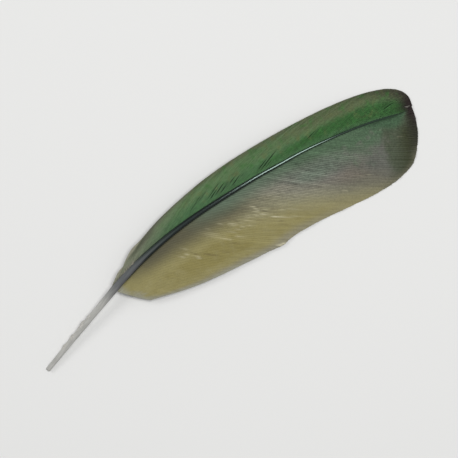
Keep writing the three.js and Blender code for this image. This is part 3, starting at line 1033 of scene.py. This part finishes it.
def zone_mask(tree, zones, wander):
    """Where all of the zones are, with lines that wander."""
    masks = []
    for shaft_weight, barb_weight, start, end in zones:
        values = {"Shaft Weight": shaft_weight, "Barb Weight": barb_weight, "Start": start, "End": end}
        masks.append(use_group(tree, PIGMENT_ZONE, {**values, "Wander": wander})["Mask"])
    return multiply(tree, masks)


def mottle(tree, colour, mask, first, second, most):
    """Two pigments in soft patches, each where the other isn't, up to the share that is the most."""
    patch = noise_around_zero(tree, body_place(tree), MOTTLE_FINENESS)
    for pigment, full in ((first, MOTTLE_FULL), (second, -MOTTLE_FULL)):
        share = multiply(tree, [ease(tree, patch, 0.0, full, 0.0, most), mask])
        colour = lay_over(tree, share, colour, shown(pigment))
    return colour


def vane_colour(tree, ground, layers, mottles):
    """The vane's pigments laid over its ground, and its mottles over those."""
    colour = shown(ground)
    for pigment, zones in layers:
        colour = lay_over(tree, zone_mask(tree, zones, ZONE_WANDER), colour, shown(pigment))
    for first, second, most, zones in mottles:
        colour = mottle(tree, colour, zone_mask(tree, zones, 0), first, second, most)
    return colour


def shade_root_crease(tree, colour, start, end, first_width, later_width):
    """Painted shade in the crease where the barbs leave the shaft, which begins between two shares of it and
    may widen.
    """
    along_shaft = fact(tree, "along_shaft")
    width = ease(tree, along_shaft, *ROOT_SHADE_WIDENS, first_width, later_width)
    near = ease(tree, fact(tree, "from_shaft"), width, ROOT_SHADE_CORE)
    begun = ease(tree, along_shaft, start, end)
    fading, returning = ease(tree, along_shaft, *ROOT_SHADE_FADES), ease(tree, along_shaft, *ROOT_SHADE_RETURNS)
    mask = multiply(tree, [near, begun, reckon(tree, "ADD", fading, returning)])
    return lay_over(tree, mask, colour, shown("root crease shade"))


def finish_vane(tree, sockets, colour, grain_values):
    """Join a vane's colour and the grain of its barbs to its shader."""
    grain = use_group(tree, BARB_GRAIN, grain_values)
    roughness = ease(tree, grain["Sheen Break"], 0.0, 1.0, *BARB_ROUGHNESS)
    set_finish(tree, sockets, colour, grain["Shade"], roughness, BARB_BUMP, grain["Height"])


def outer_vane_material():
    """Silky green barbs that dull to olive at the edge, with painted shade along their roots and in the gaps
    where the web has parted.
    """
    material, tree, sockets = new_material("green_barbs", Specular_IOR_Level=0.25, Sheen_Weight=0.05)
    colour = vane_colour(tree, OUTER_GROUND, OUTER_LAYERS, OUTER_MOTTLES)
    # Painted shade in the crease along the barbs' roots.
    colour = shade_root_crease(tree, colour, *OUTER_ROOT_SHADE)
    # Painted shade in the gaps where the web has parted, with the darker barb bases that show there.
    colour = lay_over(tree, fact(tree, "parting"), colour, shown("parting"))
    finish_vane(tree, sockets, colour, OUTER_GRAIN)
    return material


def inner_vane_material():
    """Straw barbs that turn grey and then green towards the tip, with flecks of painted glint and painted
    shade where they are ruffled.
    """
    material, tree, sockets = new_material("straw_barbs", Specular_IOR_Level=0.22, Sheen_Weight=0.04)
    colour = vane_colour(tree, INNER_GROUND, INNER_LAYERS, INNER_MOTTLES)
    # Painted shade in the crease along the barbs' roots.
    colour = shade_root_crease(tree, colour, *INNER_ROOT_SHADE)
    fleck = fact(tree, "fleck")
    # Painted shade in the dips of ruffled barbs, then painted glints where they catch the light.
    colour = lay_over(tree, reckon(tree, "MULTIPLY", fleck, -1.0), colour, shown("ripple dip shade"))
    colour = lay_over(tree, fleck, colour, shown("glint and pale curl"))
    finish_vane(tree, sockets, colour, INNER_GRAIN)
    return material


def along_plan(tree):
    """How far along the plan a place is, in millimetres."""
    length = add(tree, "ShaderNodeSeparateXYZ", {0: body_place(tree)}).outputs["X"]
    return reckon(tree, "MULTIPLY_ADD", length, 1 / MM, float(-PLAN_SHIFT[0] / MM))


def shaft_material():
    """Chalky at the quill, then lilac grey, then dark glossy horn with a paler back, partly a painted
    highlight, that runs out between flanks deepened with painted shade.
    """
    material, tree, sockets = new_material("horn", Specular_IOR_Level=0.5, Specular_Tint=HORN_TINT)
    place, across = along_plan(tree), fact(tree, "across_shaft")
    colour = lay_over(tree, ease(tree, place, *CHALK_ENDS), shown("chalk"), shown("lilac"))
    # The paler back, partly a painted highlight of the lit top, and flanks of dark horn deepened with painted
    # shade.
    off_back = reckon(tree, "ADD", reckon(tree, "ABSOLUTE", across), ease(tree, place, *BACK_NARROWS))
    flank_place = reckon(tree, "MULTIPLY_ADD", across, -OUTER_FLANK_LAG, place)
    flanks = multiply(tree, [ease(tree, flank_place, *FLANKS_DARKEN), ease(tree, off_back, *BACK_EDGE)])
    dark = reckon(tree, "MAXIMUM", flanks, ease(tree, place, *BACK_DARKENS))
    colour = lay_over(tree, dark, colour, shown("horn"))
    # More painted shade on the outer flank, the side that the key light reaches.
    flank_shade_comes, flank_shade_goes = ease(tree, place, *OUTER_FLANK_SHADE_COMES), ease(tree, place, *OUTER_FLANK_SHADE_GOES)
    outer_flank_shade = multiply(tree, [ease(tree, across, *OUTER_FLANK_EDGE), flank_shade_comes, flank_shade_goes])
    colour = lay_over(tree, outer_flank_shade, colour, shown("pitch"))
    colour = lay_over(tree, ease(tree, place, *TIP_GREENS), colour, shown("black green"))
    fibre = use_group(tree, HORN_FIBRE, HORN_FIBRES)
    shade = ease(tree, fibre["Fibre"], *FIBRE_RANGE, *HORN_SHADES)
    gloss = reckon(tree, "ADD", ease(tree, place, *GLOSS_COMES), ease(tree, place, *GLOSS_GOES))
    roughness = reckon(tree, "MULTIPLY_ADD", fibre["Speck"], SPECK_ROUGHNESS, gloss)
    set_finish(tree, sockets, colour, shade, roughness, HORN_BUMP, fibre["Fibre"])
    return material


def dry_material(name, pigment, roughness):
    """A dull dry skin or down with fibres in it."""
    material, tree, sockets = new_material(name, Specular_IOR_Level=0.2)
    fibre = use_group(tree, HORN_FIBRE, DRY_FIBRES)
    shade = ease(tree, fibre["Speck"], *FIBRE_RANGE, *DRY_SHADES)
    least, most = roughness - DRY_ROUGHNESS_SPREAD, roughness + DRY_ROUGHNESS_SPREAD
    rough = ease(tree, fibre["Fibre"], *FIBRE_RANGE, least, most)
    set_finish(tree, sockets, shown(pigment)[:3], shade, rough, DRY_BUMP, fibre["Speck"])
    return material


def floor_material():
    """A plain pale matt surface."""
    return new_material("pale_floor", Base_Color=FLOOR_COLOUR, Roughness=0.9, Specular_IOR_Level=0.2)[0]


def dress(piece, material, node=None):
    """Give a piece its material and its body, and hide the imported part that it stands for, where there is
    one.
    """
    piece.data.materials.clear()
    piece.data.materials.append(material)
    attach(piece, "root")
    if node:
        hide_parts(node)


def set_camera():
    """The camera above the feather, as far off as the lens needs for the view's width."""
    x, y, z = VIEW_MIDDLE
    distance = VIEW_WIDTH * LENS / SENSOR
    bpy.ops.object.camera_add(location=(x * MM, y * MM, (z + distance) * MM), rotation=(0, 0, VIEW_TURN))
    camera = bpy.context.object
    camera.data.lens = LENS
    camera.data.sensor_width = SENSOR
    camera.data.clip_start = NEAREST_SEEN * MM
    bpy.context.scene.camera = camera


def add_light(name, place, width, depth, power):
    """A soft light panel that shines from its place towards the origin."""
    bpy.ops.object.light_add(type="AREA", location=place)
    light = bpy.context.object
    light.name = name
    light.data.shape = "RECTANGLE"
    light.data.size = width
    light.data.size_y = depth
    light.data.energy = power
    x, y, z = place
    light.rotation_euler = (math.atan2(math.hypot(x, y), z), 0, math.atan2(y, x) + math.pi / 2)


def set_studio():
    """A pale floor, an even sky and two soft lights."""
    bpy.ops.object.select_all(action="DESELECT")
    bpy.ops.mesh.primitive_plane_add(size=FLOOR_SIZE, location=(0, 0, 0))
    floor = bpy.context.object
    floor.name = "floor"
    floor.data.materials.append(floor_material())
    scene = bpy.context.scene
    scene.view_settings.view_transform = "Standard"
    scene.world = scene.world or bpy.data.worlds.new("sky")
    scene.world.use_nodes = True
    sky = scene.world.node_tree.nodes["Background"].inputs
    sky["Color"].default_value = (1, 1, 1, 1)
    sky["Strength"].default_value = SKY_STRENGTH
    for name, light in LIGHTS.items():
        add_light(name, *light)


def build_feather():
    """Every piece of the feather, dressed."""
    dress(model_shaft(), shaft_material(), "shaft")
    dress(model_sheath(), dry_material("dry_sheath", "sheath", SHEATH_ROUGHNESS))
    dress(lay_barbs(OUTER_VANE), outer_vane_material(), "outer_vane")
    dress(lay_barbs(INNER_VANE), inner_vane_material(), "inner_vane")
    dress(lay_down(), dry_material("pale_down", "down", DOWN_ROUGHNESS))


set_camera()
set_studio()
build_feather()
